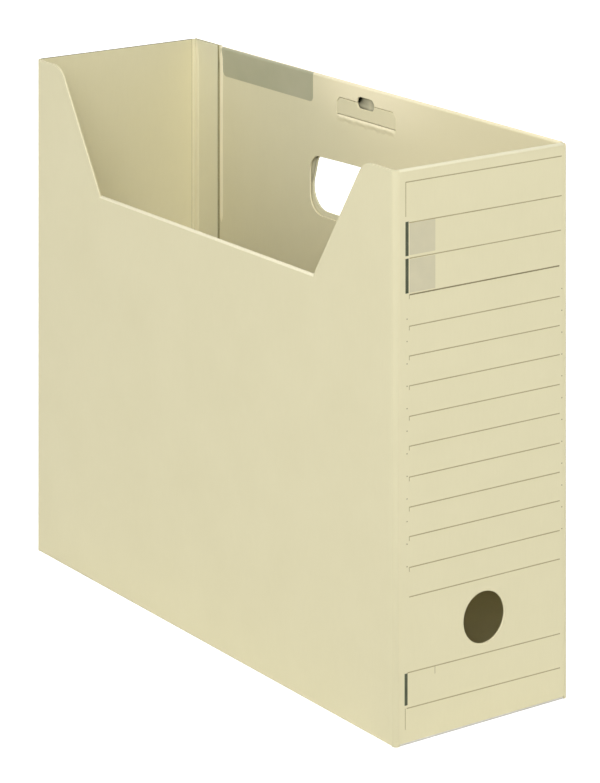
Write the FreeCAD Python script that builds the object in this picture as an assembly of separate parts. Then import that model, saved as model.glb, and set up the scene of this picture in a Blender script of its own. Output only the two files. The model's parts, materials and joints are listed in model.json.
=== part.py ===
"""A file box of laminated board for sheets laid landscape, standing upright, with its lid folded inside.

The real box is one die-cut blank: every panel here is a stretch of that board between two creases.
X runs from the end wall to the spine, Y from the front wall to the back wall, Z upwards.
The origin is on the floor, in the middle of the footprint.
"""
import FreeCAD
import Part
import math
import os

# Overall size, outside
length = 318.0
width = 102.0
height = 262.0

# Board and its creases
board = 1.0
corner_radius = 2.5
floor_radius = 1.5
fold_gap = 0.2
corner_foot = 0.3

# Cut-out of the front wall
cutout_depth = 60.6
cutout_bottom = 190.2
cutout_top = 269.4
cutout_round = 12.0

# Reinforcing flaps folded down inside the cut-out and the spine's top
front_liner_depth = 42.0
front_liner_taper = 5.5
spine_liner_depth = 45.0
liner_round = 6.0
liner_side_gap = 1.0

# Flap of the end wall that is glued to the back wall's inner side
glue_flap_reach = 23.9
glue_flap_foot = 1.0

# Finger hole near the foot of the spine
finger_hole_diameter = 24.0
finger_hole_height = 49.0
finger_hole_offset = 0.4

# Hand hole of the back wall: arched top, sides that lean in above the widest place
hand_hole_width = 92.8
hand_hole_height = 29.5
hand_hole_drop = 41.6
hand_hole_crown = 1.6
hand_hole_crown_round = 400.0
hand_hole_lean = 4.3
hand_hole_widest = 13.6
hand_hole_widest_round = 8.0
hand_hole_upper_round = 4.0
hand_hole_lower_round = 12.0

# Lid: the panel that hangs from the back wall's top edge, and its larger hand hole
lid_left_inset = 27.0
lid_right_inset = 3.5
lid_wall_gap = 0.6
lid_side_relief = 0.5
lid_hole_side_margin = 0.9
lid_hole_foot_margin = 2.3
lid_hole_upper_round = 8.0
lid_hole_lower_round = 10.0
crease_clearance = 0.1

# Front flap of the lid, which tucks in behind the front wall
flap_length = 72.0
flap_shoulder = 12.0
flap_taper = 10.0
flap_round = 12.0
flap_fold_offset = 0.15
flap_front_gap = 0.4

# Lock tab cut in the lid close to its hinge, with a finger notch at its free edge
tab_width = 50.0
tab_height = 8.6
tab_crease_drop = 17.7
tab_offset = 1.8
tab_chamfer = 2.3
tab_kerf = 0.3
notch_width = 14.6
notch_height = 6.0
notch_offset = -0.3
notch_rise = 0.3

# Bottom: two short side flaps, covered from below by two long flaps
layer_gap = 0.1
side_flap_length = 72.0
side_flap_inset = 0.5
side_flap_flat = 1.0
side_flap_ramp = 3.0
side_flap_chamfer = 8.0
long_flap_end_gap = 6.0
bottom_joint_offset = 6.0
bottom_joint_gap = 0.3
tongue_width = 120.0
tongue_reach = 24.0
tongue_root = 4.0
tongue_round = 8.0

# Places that follow from the sizes above
x_end, x_spine = -length / 2, length / 2
y_front, y_back = -width / 2, width / 2
wall_y_front, wall_y_back = y_front + corner_radius, y_back - corner_radius
end_y_back = y_back - board - corner_radius
wall_x = x_spine - corner_radius
z_floor_bend = floor_radius
liner_roll = board + fold_gap / 2
lid_roll = board + lid_wall_gap / 2
cut_z = height - cutout_depth
hinge_y, hinge_z = y_back - lid_roll, height - lid_roll
lid_x0, lid_x1 = x_end + lid_left_inset, x_spine - lid_right_inset
lid_y0 = hinge_y - lid_roll
lid_y1 = lid_y0 + board
front_liner_inner = y_front + 2 * liner_roll
lid_reach = hinge_y - front_liner_inner - flap_front_gap - board - flap_fold_offset
flap_axis_y, flap_axis_z = lid_y1 + flap_fold_offset, hinge_z - lid_reach
flap_roll = board + flap_fold_offset
tab_x = tab_offset
tab_crease_z = height - tab_crease_drop
tab_cut_z = tab_crease_z + tab_height

X_AXIS = FreeCAD.Vector(1, 0, 0)
Y_AXIS = FreeCAD.Vector(0, 1, 0)
Z_AXIS = FreeCAD.Vector(0, 0, 1)


def facing_front(y):
    """Drawing plane at depth y: u runs along X and v along Z."""
    return lambda u, v: FreeCAD.Vector(u, y, v)


def facing_spine(x):
    """Drawing plane at x: u runs along Y and v along Z."""
    return lambda u, v: FreeCAD.Vector(x, u, v)


def facing_up(z):
    """Drawing plane at height z: u runs along X and v along Y."""
    return lambda u, v: FreeCAD.Vector(u, v, z)


def rounded_face(corners, plane):
    """Flat face through corners (u, v, radius), each corner rounded by an arc of its radius."""
    edges, first, last = [], None, None
    count = len(corners)
    for i, (u, v, radius) in enumerate(corners):
        before, after = corners[i - 1], corners[(i + 1) % count]
        to_before = FreeCAD.Vector(before[0] - u, before[1] - v, 0).normalize()
        to_after = FreeCAD.Vector(after[0] - u, after[1] - v, 0).normalize()
        half = to_before.getAngle(to_after) / 2
        back_off = radius / math.tan(half)
        start = plane(u + to_before.x * back_off, v + to_before.y * back_off)
        end = plane(u + to_after.x * back_off, v + to_after.y * back_off)
        if last is not None:
            edges.append(Part.LineSegment(last, start).toShape())
        if radius > 0:
            inward = (to_before + to_after).normalize()
            apex = radius / math.sin(half) - radius
            middle = plane(u + inward.x * apex, v + inward.y * apex)
            edges.append(Part.Arc(start, middle, end).toShape())
        first = start if first is None else first
        last = end
    edges.append(Part.LineSegment(last, first).toShape())
    return Part.Face(Part.Wire(edges))


def panel(corners, plane, thickness):
    """Board panel: a rounded outline carried through the thickness, given as a vector."""
    return rounded_face(corners, plane).extrude(thickness)


def block(x0, x1, y0, y1, z0, z1):
    """Square-edged stretch of board between three pairs of planes."""
    return Part.makeBox(x1 - x0, y1 - y0, z1 - z0, FreeCAD.Vector(x0, y0, z0))


def bend(plane, centre, inner, outer, start, sweep, run):
    """Bent strip of board: a ring sector about centre (u, v), angles in degrees, carried along run."""
    def at(radius, degrees):
        turn = math.radians(degrees)
        return plane(centre[0] + radius * math.cos(turn), centre[1] + radius * math.sin(turn))

    end, middle = start + sweep, start + sweep / 2
    outer_arc = Part.Arc(at(outer, start), at(outer, middle), at(outer, end)).toShape()
    if inner > 0:
        inner_arc = Part.Arc(at(inner, end), at(inner, middle), at(inner, start)).toShape()
        sides = [Part.LineSegment(at(outer, end), at(inner, end)).toShape(), inner_arc,
                 Part.LineSegment(at(inner, start), at(outer, start)).toShape()]
    else:
        sides = [Part.LineSegment(at(outer, end), plane(*centre)).toShape(),
                 Part.LineSegment(plane(*centre), at(outer, start)).toShape()]
    return Part.Face(Part.Wire([outer_arc] + sides)).extrude(run)


def rod(radius, y, z):
    """Cylinder along X over the lid's width, centred on (y, z)."""
    return Part.makeCylinder(radius, lid_x1 - lid_x0, FreeCAD.Vector(lid_x0, y, z), X_AXIS)


def hole_cutter(right_side, y0, y1):
    """Cutter of a hand hole from its right side's corners, foot to top, mirrored about an arched crown."""
    top = height - hand_hole_drop
    left_side = [(-u, v, radius) for u, v, radius in reversed(right_side)]
    corners = right_side + [(0, top, hand_hole_crown_round)] + left_side
    return panel(corners, facing_front(y0), Y_AXIS * (y1 - y0))


def wall_hand_hole():
    """Hand hole of the back wall."""
    half = hand_hole_width / 2
    top = height - hand_hole_drop
    foot = top - hand_hole_height
    right_side = [(half, foot, hand_hole_lower_round),
                  (half, foot + hand_hole_widest, hand_hole_widest_round),
                  (half - hand_hole_lean, top - hand_hole_crown, hand_hole_upper_round)]
    return hole_cutter(right_side, y_back - 2 * board, y_back + board)


def lid_hand_hole():
    """Hand hole of the lid, larger at the sides and foot."""
    half = hand_hole_width / 2 + lid_hole_side_margin
    top = height - hand_hole_drop
    foot = top - hand_hole_height - lid_hole_foot_margin
    right_side = [(half, foot, lid_hole_lower_round), (half, top - hand_hole_crown, lid_hole_upper_round)]
    return hole_cutter(right_side, lid_y0 - board, lid_y1 + board)


def tab_outline(grow, foot):
    """Outline of the lock tab, grown by grow at its cut edges, from the height foot upwards."""
    left, right = tab_x - tab_width / 2 - grow, tab_x + tab_width / 2 + grow
    top = tab_cut_z + grow
    bevel = tab_chamfer + grow / 2
    return [(left, foot, 0), (right, foot, 0), (right, top - bevel, 0), (right - bevel, top, 0),
            (left + bevel, top, 0), (left, top - bevel, 0)]


def finger_notch():
    """Cutter of the oblong finger notch, centred a little above the tab's free edge."""
    left, right = tab_x + notch_offset - notch_width / 2, tab_x + notch_offset + notch_width / 2
    radius = notch_height / 2
    ends = radius * 0.999
    middle = tab_cut_z + notch_rise
    corners = [(left, middle - radius, ends), (right, middle - radius, ends),
               (right, middle + radius, ends), (left, middle + radius, ends)]
    return panel(corners, facing_front(lid_y0 - board), Y_AXIS * (3 * board))


def front_wall():
    """Front wall between its two corner creases, with the trapezium cut out of its top."""
    low, high = cutout_bottom / 2, cutout_top / 2
    fold_z = cut_z - liner_roll
    corners = [(-wall_x, z_floor_bend, 0), (wall_x, z_floor_bend, 0), (wall_x, height, 0),
               (high, height, cutout_round), (low, cut_z, 0), (low, fold_z, 0),
               (-low, fold_z, 0), (-low, cut_z, 0), (-high, height, cutout_round), (-wall_x, height, 0)]
    return panel(corners, facing_front(y_front), Y_AXIS * board)


def front_liner():
    """Flap folded down inside the cut-out's lower edge, with the fold's roll on top."""
    low = cutout_bottom / 2
    fold_z = cut_z - liner_roll
    tip = low - front_liner_taper
    roll = bend(facing_spine(-low), (y_front + liner_roll, fold_z), fold_gap / 2, liner_roll, 0, 180,
                X_AXIS * cutout_bottom)
    foot = fold_z - front_liner_depth
    corners = [(-tip, foot, liner_round), (tip, foot, liner_round), (low, fold_z, 0), (-low, fold_z, 0)]
    leaf = panel(corners, facing_front(front_liner_inner - board), Y_AXIS * board)
    return roll.fuse(leaf).removeSplitter()


def spine_wall():
    """Spine with its round finger hole."""
    wall = block(x_spine - board, x_spine, wall_y_front, wall_y_back, z_floor_bend, height - liner_roll)
    hole = Part.makeCylinder(finger_hole_diameter / 2, 3 * board,
                             FreeCAD.Vector(x_spine - 2 * board, finger_hole_offset, finger_hole_height),
                             X_AXIS)
    return wall.cut(hole)


def spine_liner():
    """Flap folded down inside the spine's top edge, with the fold's roll on top."""
    fold_z = height - liner_roll
    roll = bend(facing_front(wall_y_front), (x_spine - liner_roll, fold_z), fold_gap / 2, liner_roll,
                0, 180, Y_AXIS * (wall_y_back - wall_y_front))
    y0, y1 = wall_y_front + liner_side_gap, wall_y_back - liner_side_gap
    foot = fold_z - spine_liner_depth
    corners = [(y0, foot, liner_round), (y1, foot, liner_round), (y1, fold_z, 0), (y0, fold_z, 0)]
    leaf = panel(corners, facing_spine(x_spine - 2 * liner_roll), X_AXIS * board)
    return roll.fuse(leaf).removeSplitter()


def back_wall():
    """Back wall with its hand hole, lower where the lid folds over its top edge."""
    fold_x0, fold_x1 = lid_x0 - 2 * lid_side_relief, lid_x1 + lid_side_relief
    ear = height - board
    corners = [(x_end, z_floor_bend, 0), (wall_x, z_floor_bend, 0), (wall_x, ear, 0), (fold_x1, ear, 0),
               (fold_x1, hinge_z, 0), (fold_x0, hinge_z, 0), (fold_x0, height, 0), (x_end, height, 0)]
    wall = panel(corners, facing_front(y_back - board), Y_AXIS * board)
    return wall.cut(wall_hand_hole())


def end_wall():
    """Plain wall opposite the spine, with a raw top edge."""
    return block(x_end, x_end + board, wall_y_front, end_y_back, z_floor_bend, height)


def glue_flap():
    """Flap of the end wall, flat against the back wall's inner side."""
    y1 = y_back - board
    foot = z_floor_bend + glue_flap_foot
    return block(-wall_x, x_end + glue_flap_reach, y1 - board, y1, foot, height)


def upright_corner(x_side, y_outer, start, top):
    """Rounded upright crease: a quarter ring whose outer faces lie on x_side and y_outer."""
    x_centre = x_side - math.copysign(corner_radius, x_side)
    y_centre = y_outer - math.copysign(corner_radius, y_outer)
    return bend(facing_up(corner_foot), (x_centre, y_centre), corner_radius - board, corner_radius,
                start, 90, Z_AXIS * (top - corner_foot))


def back_spine_corner():
    """Corner between spine and back wall, its top cut off aslant beside the lid's fold."""
    corner = upright_corner(x_spine, y_back, 0, height)
    x0 = x_spine - corner_radius - board
    slope = [(x0, height, 0), (x_spine, height - 2 * board, 0), (x_spine + board, height + board, 0)]
    return corner.cut(panel(slope, facing_front(y_back - 2 * corner_radius), Y_AXIS * (3 * corner_radius)))


def lid_crease():
    """Roll of board where the back wall turns over into the lid; the lid turns about its centre line."""
    wall = block(lid_x0, lid_x1, y_back - board, y_back + board, hinge_z - 2 * lid_roll, hinge_z)
    return rod(lid_roll, hinge_y, hinge_z).cut(wall)


def lid_panel():
    """Lid panel, hanging inside along the back wall, with its hand hole and the lock tab's opening."""
    leaf = block(lid_x0, lid_x1, lid_y0, lid_y1, flap_axis_z, hinge_z)
    opening = panel(tab_outline(tab_kerf, tab_crease_z), facing_front(lid_y0 - board), Y_AXIS * (3 * board))
    leaf = leaf.cut(rod(lid_roll + crease_clearance, hinge_y, hinge_z))
    leaf = leaf.cut(lid_hand_hole())
    return leaf.cut(opening).cut(finger_notch())


def lid_flap_crease():
    """Quarter roll at the lid's far edge, on which the front flap turns."""
    return bend(facing_spine(lid_x0), (flap_axis_y, flap_axis_z), 0, flap_roll, 180, 90,
                X_AXIS * (lid_x1 - lid_x0))


def lid_front_flap():
    """Front flap of the lid, in line with the panel at rest, narrowed below its shoulders."""
    foot, shoulder = flap_axis_z - flap_length, flap_axis_z - flap_shoulder
    corners = [(lid_x0 + flap_taper, foot, flap_round), (lid_x1 - flap_taper, foot, flap_round),
               (lid_x1, shoulder, 0), (lid_x1, flap_axis_z, 0),
               (lid_x0, flap_axis_z, 0), (lid_x0, shoulder, 0)]
    leaf = panel(corners, facing_front(lid_y0), Y_AXIS * board)
    return leaf.cut(rod(flap_roll + crease_clearance, flap_axis_y, flap_axis_z))


def lock_tab():
    """Tongue that folds out of the lid about the crease at its foot."""
    tongue = panel(tab_outline(0, tab_crease_z + crease_clearance), facing_front(lid_y0), Y_AXIS * board)
    return tongue.cut(finger_notch())


def floor_crease(side):
    """Quarter roll at the foot of a long wall (side -1 front, 1 back), where the board turns under."""
    centre_y = side * (y_back - floor_radius)
    return bend(facing_spine(-wall_x), (centre_y, z_floor_bend), floor_radius - board, floor_radius,
                180 if side < 0 else 270, 90, X_AXIS * (2 * wall_x))


def long_leaf(y0, y1):
    """Outer bottom flap on the floor, from y0 to y1, short of the side flaps' creases."""
    leaf_x = x_spine - long_flap_end_gap
    return block(-leaf_x, leaf_x, y0, y1, 0, board)


def front_bottom_flap():
    """Long bottom flap of the front wall."""
    return long_leaf(y_front + floor_radius, bottom_joint_offset - bottom_joint_gap / 2)


def back_bottom_flap():
    """Long bottom flap of the back wall, with the tongue that lies over the front one."""
    joint = bottom_joint_offset + bottom_joint_gap / 2
    half = tongue_width / 2
    layer = board + layer_gap
    corners = [(-half, joint - tongue_reach, tongue_round), (half, joint - tongue_reach, tongue_round),
               (half, joint + tongue_root, 0), (-half, joint + tongue_root, 0)]
    tongue = panel(corners, facing_up(layer), Z_AXIS * board)
    root = block(-half, half, joint, joint + tongue_root, 0, layer)
    return long_leaf(joint, y_back - floor_radius).fuse([tongue, root]).removeSplitter()


def side_flap(side, wall_y0, wall_y1):
    """Inner bottom flap of the end wall (side -1) or the spine (side 1), as wide as that wall.

    It starts level with the long flaps at its crease and rises onto the second layer.
    """
    layer = board + layer_gap
    y0, y1 = wall_y0 + side_flap_inset, wall_y1 - side_flap_inset
    bend_x = x_spine - floor_radius
    flat_x = bend_x - side_flap_flat
    ramp_x = flat_x - side_flap_ramp
    tip_x = bend_x - side_flap_length
    skew = board * math.tan(math.atan2(layer, side_flap_ramp) / 2)
    inner = floor_radius - board
    outer_mid, inner_mid = floor_radius * math.sqrt(0.5), inner * math.sqrt(0.5)
    centre_z = z_floor_bend

    def at(x, z):
        return FreeCAD.Vector(side * x, y0, z)

    outline = [
        Part.Arc(at(x_spine, centre_z), at(bend_x + outer_mid, centre_z - outer_mid), at(bend_x, 0)),
        Part.LineSegment(at(bend_x, 0), at(flat_x, 0)),
        Part.LineSegment(at(flat_x, 0), at(ramp_x, layer)),
        Part.LineSegment(at(ramp_x, layer), at(tip_x, layer)),
        Part.LineSegment(at(tip_x, layer), at(tip_x, layer + board)),
        Part.LineSegment(at(tip_x, layer + board), at(ramp_x + skew, layer + board)),
        Part.LineSegment(at(ramp_x + skew, layer + board), at(flat_x + skew, board)),
        Part.LineSegment(at(flat_x + skew, board), at(bend_x, board)),
        Part.Arc(at(bend_x, board), at(bend_x + inner_mid, centre_z - inner_mid),
                 at(bend_x + inner, centre_z)),
        Part.LineSegment(at(bend_x + inner, centre_z), at(x_spine, centre_z)),
    ]
    flap = Part.Face(Part.Wire([piece.toShape() for piece in outline])).extrude(Y_AXIS * (y1 - y0))
    for across, y_edge in ((-1, y0), (1, y1)):
        bevel = [(side * (tip_x - board), y_edge - across * (side_flap_chamfer + board), 0),
                 (side * (tip_x - board), y_edge + across * board, 0),
                 (side * (tip_x + side_flap_chamfer + board), y_edge + across * board, 0)]
        flap = flap.cut(panel(bevel, facing_up(0), Z_AXIS * (4 * board)))
    return flap


pieces = {
    "front_wall": front_wall(),
    "front_liner": front_liner(),
    "spine_wall": spine_wall(),
    "spine_liner": spine_liner(),
    "back_wall": back_wall(),
    "end_wall": end_wall(),
    "glue_flap": glue_flap(),
    "front_spine_corner": upright_corner(x_spine, y_front, 270, height),
    "back_spine_corner": back_spine_corner(),
    "front_end_corner": upright_corner(x_end, y_front, 180, height),
    "back_end_corner": upright_corner(x_end, y_back - board, 90, height),
    "front_floor_crease": floor_crease(-1),
    "back_floor_crease": floor_crease(1),
    "front_bottom_flap": front_bottom_flap(),
    "back_bottom_flap": back_bottom_flap(),
    "spine_bottom_flap": side_flap(1, wall_y_front, wall_y_back),
    "end_bottom_flap": side_flap(-1, wall_y_front, end_y_back),
    "lid_crease": lid_crease(),
    "lid_panel": lid_panel(),
    "lid_flap_crease": lid_flap_crease(),
    "lid_front_flap": lid_front_flap(),
    "lock_tab": lock_tab(),
}

os.makedirs("parts", exist_ok=True)
for name, shape in pieces.items():
    shape.exportStep(os.path.join("parts", name + ".step"))
    box = shape.BoundBox
    print(f"{name:20s} solids {len(shape.Solids)} valid {shape.isValid()} volume {shape.Volume:9.1f}",
          f"x {box.XMin:7.1f} {box.XMax:6.1f}  y {box.YMin:5.1f} {box.YMax:5.1f}",
          f"z {box.ZMin:5.1f} {box.ZMax:5.1f}")

print(f"lid hinge along X at y {hinge_y:.2f}, z {hinge_z:.2f}")
print(f"front flap hinge along X at y {flap_axis_y:.2f}, z {flap_axis_z:.2f}, lid reach {lid_reach:.2f}")
print(f"lock tab hinge along X at y {lid_y0:.2f}, z {tab_crease_z:.2f}")
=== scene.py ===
# %% [markdown]
# # A file box of folded board
# The box is one sheet of ivory paperboard with a clear film on it, creased, folded and glued. Its lid
# is folded into the box and hangs along the back wall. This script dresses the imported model: each
# panel, fold and flap becomes a piece of board with soft cut edges, and the printing, the film's
# sheen and the marks of the creasing tools are added. Everything is in metres.

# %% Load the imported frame
import json
import math

import bmesh
import bpy
import numpy as np
from mathutils import Matrix, Vector
from mathutils.geometry import tessellate_polygon


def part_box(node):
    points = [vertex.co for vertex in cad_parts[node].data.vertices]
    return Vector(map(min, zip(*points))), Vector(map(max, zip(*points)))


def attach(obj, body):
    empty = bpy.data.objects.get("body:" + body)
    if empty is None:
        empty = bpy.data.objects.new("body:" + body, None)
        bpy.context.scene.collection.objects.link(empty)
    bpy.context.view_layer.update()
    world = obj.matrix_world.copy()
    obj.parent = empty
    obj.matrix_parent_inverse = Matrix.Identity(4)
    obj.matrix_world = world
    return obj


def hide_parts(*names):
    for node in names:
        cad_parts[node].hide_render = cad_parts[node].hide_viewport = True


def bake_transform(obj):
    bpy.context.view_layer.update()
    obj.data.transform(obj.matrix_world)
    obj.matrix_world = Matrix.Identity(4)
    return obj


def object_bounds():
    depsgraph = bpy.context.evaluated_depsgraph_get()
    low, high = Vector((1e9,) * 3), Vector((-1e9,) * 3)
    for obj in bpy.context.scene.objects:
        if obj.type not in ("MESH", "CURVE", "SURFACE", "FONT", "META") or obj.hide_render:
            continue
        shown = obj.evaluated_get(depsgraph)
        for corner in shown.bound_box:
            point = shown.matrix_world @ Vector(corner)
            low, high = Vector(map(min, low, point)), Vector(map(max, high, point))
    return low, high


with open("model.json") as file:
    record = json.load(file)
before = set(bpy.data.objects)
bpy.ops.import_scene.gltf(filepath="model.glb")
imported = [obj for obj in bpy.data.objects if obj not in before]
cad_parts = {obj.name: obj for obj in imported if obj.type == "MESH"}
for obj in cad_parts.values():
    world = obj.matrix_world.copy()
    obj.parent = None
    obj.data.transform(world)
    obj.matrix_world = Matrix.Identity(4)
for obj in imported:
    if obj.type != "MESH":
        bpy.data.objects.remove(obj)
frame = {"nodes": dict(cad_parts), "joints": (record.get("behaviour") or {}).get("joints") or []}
cad_low, cad_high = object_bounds()
link = bpy.context.scene.collection.objects.link
print("frame", [round(v * 1000, 1) for v in (*cad_low, *cad_high)], "mm, nodes", len(frame["nodes"]))

# %% [markdown]
# ## Sizes
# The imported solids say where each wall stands, so places are read from them. Only what a bounding
# box can't tell, such as the radius of a hole's corners, is written here again, as a real size.

# %% Sizes of the box
mm = 0.001
x_end, y_front, _ = cad_low
x_spine, y_back, height = cad_high
end_x_inner, end_y_back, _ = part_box("end_wall")[1]
board = end_x_inner - x_end
(_, _, floor_radius), (wall_x, _, _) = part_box("front_wall")
corner_radius = x_spine - wall_x
wall_y_front, wall_y_back = y_front + corner_radius, y_back - corner_radius
corner_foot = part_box("front_end_corner")[0].z
print("board", round(board / mm, 2), "mm, corner radius", round(corner_radius / mm, 2), "mm")

# %% Sizes of the lid and its joints
joints = {joint["name"]: joint for joint in frame["joints"]}
hinge_y, hinge_z = joints["lid_hinge"]["pos_m"][1:]
flap_z = joints["front_flap_hinge"]["pos_m"][2]
tab_crease_z = joints["lock_tab_hinge"]["pos_m"][2]
(lid_x0, lid_y0, _), (lid_x1, lid_y1, _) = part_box("lid_panel")
flap_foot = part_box("lid_front_flap")[0].z
(tab_left, _, _), (tab_right, _, tab_cut_z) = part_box("lock_tab")
print("lid from", round(lid_x0 / mm, 1), "to", round(lid_x1 / mm, 1), "mm, hinge at", hinge_y, hinge_z)

# %% Sizes that only the drawing knows
arris = 0.16 * mm
cutout_bottom, cutout_top, cutout_round = 190.2 * mm, 269.4 * mm, 12.0 * mm
fold_gap = 0.2 * mm
liner_roll = board + fold_gap / 2
(_, _, front_liner_foot), (_, _, cutout_z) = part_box("front_liner")
spine_liner_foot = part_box("spine_liner")[0].z
front_liner_taper, liner_side_gap, liner_round = 5.5 * mm, 1.0 * mm, 6.0 * mm
finger_hole_radius = 12.0 * mm
finger_hole_y, finger_hole_z = 0.4 * mm, 49.0 * mm
hand_hole_half, hand_hole_lean = 46.4 * mm, 4.3 * mm
hand_hole_top, hand_hole_foot = 220.4 * mm, 190.9 * mm
hand_hole_crown, hand_hole_widest, crown_radius = 1.6 * mm, 13.6 * mm, 400 * mm
lid_hole_side, lid_hole_foot = 0.9 * mm, 2.3 * mm
tab_chamfer, tab_kerf = 2.3 * mm, 0.3 * mm
notch_left, notch_right, notch_half, notch_rise = -5.8 * mm, 8.8 * mm, 3.0 * mm, 0.3 * mm
flap_taper, flap_shoulder, flap_round = 10.0 * mm, 12.0 * mm, 12.0 * mm

# %% [markdown]
# ## Materials
# Film-laminated board is pale, silky and never quite even: its fibres cloud the tone and the film has a
# faint ripple. Folds, ridges and rolls carry a painted highlight, with a little rubbing of the film,
# and some places a painted shade, shadow or pool of light. A painted image could hold that, but it
# would be tied to one view and size, so nodes on object coordinates make it: three noises at the scale
# of clouds, fibres and ripple. All numbers that don't vary sit on the shader's own sockets.

# %% Colours and helpers for nodes
def srgb(red, green, blue):
    """Linear colour of a screen colour: with c as a share of 255, (c + 0.055) / 1.055 to the power 2.4,
    or c / 12.92 near black."""
    share = np.array([red, green, blue]) / 255
    linear = np.where(share <= 0.04045, share / 12.92, ((share + 0.055) / 1.055) ** 2.4)
    return (*linear.tolist(), 1.0)


def plug(tree, node, inputs):
    """Fills a node's inputs, given by name or number: a socket is linked, anything else is a value."""
    for socket, value in dict(inputs).items():
        if isinstance(value, bpy.types.NodeSocket):
            tree.links.new(value, node.inputs[socket])
        else:
            node.inputs[socket].default_value = value


def node_maker(tree):
    """A function that adds a node of a type to the tree, with its inputs and settings."""
    def add(kind, inputs=(), **settings):
        node = tree.nodes.new(kind)
        for name, value in settings.items():
            setattr(node, name, value)
        plug(tree, node, inputs)
        return node
    return add


def start_material(name):
    """A new material, the adder of its nodes and a function that fills its main shader's inputs."""
    material = bpy.data.materials.new(name)
    material.use_nodes = True
    tree = material.node_tree
    return material, node_maker(tree), lambda inputs: plug(tree, tree.nodes["Principled BSDF"], inputs)


# %% Steps that several materials share
def noise(add, place, scale, detail, roughness=0.5):
    """Noise about 0.5 with so many features to the metre."""
    return add("ShaderNodeTexNoise", {"Vector": place, "Scale": scale, "Detail": detail,
                                      "Roughness": roughness}).outputs[0]


def spread(add, value, low=0.0, high=1.0, start=0.3, end=0.7, kind="LINEAR"):
    """Value from start to end as a share from low to high, held at these outside."""
    return add("ShaderNodeMapRange", {0: value, 1: start, 2: end, 3: low, 4: high},
               interpolation_type=kind).outputs[0]


def maths(add, operation, first, second):
    """Sum, product or larger one of two values."""
    return add("ShaderNodeMath", {0: first, 1: second}, operation=operation).outputs[0]


def mix(add, share, first, second):
    """Colour on the way from first to second."""
    return add("ShaderNodeMix", {0: share, 6: first, 7: second}, data_type="RGBA").outputs[2]


def bumps(add, height_map, strength, distance=0.0001):
    """Normals of a surface that rises with the height map by up to distance, in metres."""
    return add("ShaderNodeBump", {"Strength": strength, "Distance": distance,
                                  "Height": height_map}).outputs[0]


# %% Board material
# Painted shade: the dark colour that the shade attribute mixes in, and the duller film where it is
# full.
shade_colour = srgb(20, 24, 14)
film_sheen, shade_sheen = 0.35, 0.03


def board_material(name, light, dark, rub_and_highlight_tone, roughness, lit_ramp=None, spot=None):
    """Board: clouds and fibres mix light and dark. A point attribute lets the third colour show on
    folds, ridges and rolls: a painted highlight, with a little rubbing of the film. The shade attribute
    lets a dark colour show, and dulls the film: painted shade and shadow. The ramp (colour, x0, x1) is
    a painted lighter tone that the sheet takes on from x0 to x1, where more light falls on it. The pool
    (x, z, reach in x, reach in z) is a painted pool of light, where the third colour shows most; its
    share falls to nothing over the reaches, as on an ellipse. It reads the attribute rest_place, so it
    stays on the board when the joints turn."""
    material, add, dress = start_material(name)
    place = add("ShaderNodeTexCoord").outputs["Object"]
    along = add("ShaderNodeMapping", {"Vector": place, "Scale": (1.0, 1.0, 0.12)}).outputs[0]
    clouds = noise(add, place, 26.0, 3.0, 0.55)
    fibres = noise(add, along, 900.0, 4.0, 0.7)
    share = maths(add, "ADD", spread(add, clouds, high=0.62), spread(add, fibres, high=0.38))
    tone = mix(add, share, light, dark)
    if lit_ramp:
        along_x = add("ShaderNodeSeparateXYZ", {0: place}).outputs[0]
        share = spread(add, along_x, start=lit_ramp[1], end=lit_ramp[2], kind="SMOOTHSTEP")
        tone = mix(add, share, tone, lit_ramp[0])
    if spot:
        x, z, reach_x, reach_z = spot
        rest = add("ShaderNodeAttribute", attribute_name="rest_place").outputs["Vector"]
        near = add("ShaderNodeMapping", {"Vector": rest, "Location": (-x / reach_x, 0, -z / reach_z),
                                         "Scale": (1 / reach_x, 0, 1 / reach_z)}).outputs[0]
        near = add("ShaderNodeTexGradient", {0: near}, gradient_type="SPHERICAL").outputs[1]
        tone = mix(add, spread(add, near, start=0.0, end=1.0, kind="SMOOTHSTEP"), tone, rub_and_highlight_tone)
    rub = add("ShaderNodeAttribute", attribute_name="rub").outputs["Fac"]
    highlight_amount = maths(add, "MULTIPLY", rub, spread(add, fibres, 0.6, 1.0))
    shade = add("ShaderNodeAttribute", attribute_name="shade").outputs["Fac"]
    dress({"Base Color": mix(add, shade, mix(add, highlight_amount, tone, rub_and_highlight_tone), shade_colour),
           "Roughness": spread(add, clouds, roughness - 0.05, roughness + 0.06),
           "Specular IOR Level": spread(add, shade, film_sheen, shade_sheen, 0.0, 1.0),
           "Normal": bumps(add, noise(add, place, 420.0, 2.0), 0.12)})
    return material


# The third colour of each board is the highlight tone painted on its folds, ridges and rolls. The lid
# is painted lighter towards its right end, and its strip near the hinge carries a painted pool of light
# at the middle of its top.
inner_rub_and_highlight, lid_tones = srgb(248, 240, 208), (srgb(223, 217, 183), srgb(219, 213, 179))
lid_lit_ramp = (srgb(238, 229, 190), -70 * mm, 60 * mm)
wall_tones = srgb(224, 217, 180), srgb(220, 213, 176), srgb(246, 237, 204)
raw_tones = srgb(224, 222, 212), srgb(214, 212, 203), srgb(232, 229, 218)
wall_board = board_material("wall_board", *wall_tones, 0.46)
inner_board = board_material("inner_board", srgb(227, 222, 190), srgb(223, 218, 187), inner_rub_and_highlight, 0.5)
lid_film = board_material("lid_film", *lid_tones, inner_rub_and_highlight, 0.5, lit_ramp=lid_lit_ramp)
lid_strip = board_material("lid_strip", *lid_tones, srgb(254, 244, 208), 0.5, lit_ramp=lid_lit_ramp,
                           spot=(5 * mm, 262 * mm, 75 * mm, 30 * mm))
raw_board = board_material("raw_board", *raw_tones, 0.8)
print("materials so far", bpy.data.materials.keys())

# %% [markdown]
# Where the board is cut, its pressed pulp shows: matt and finely grained. On the walls it is paler than
# the film; the end wall and its glue flap have darker, greyer cut edges.

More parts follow.
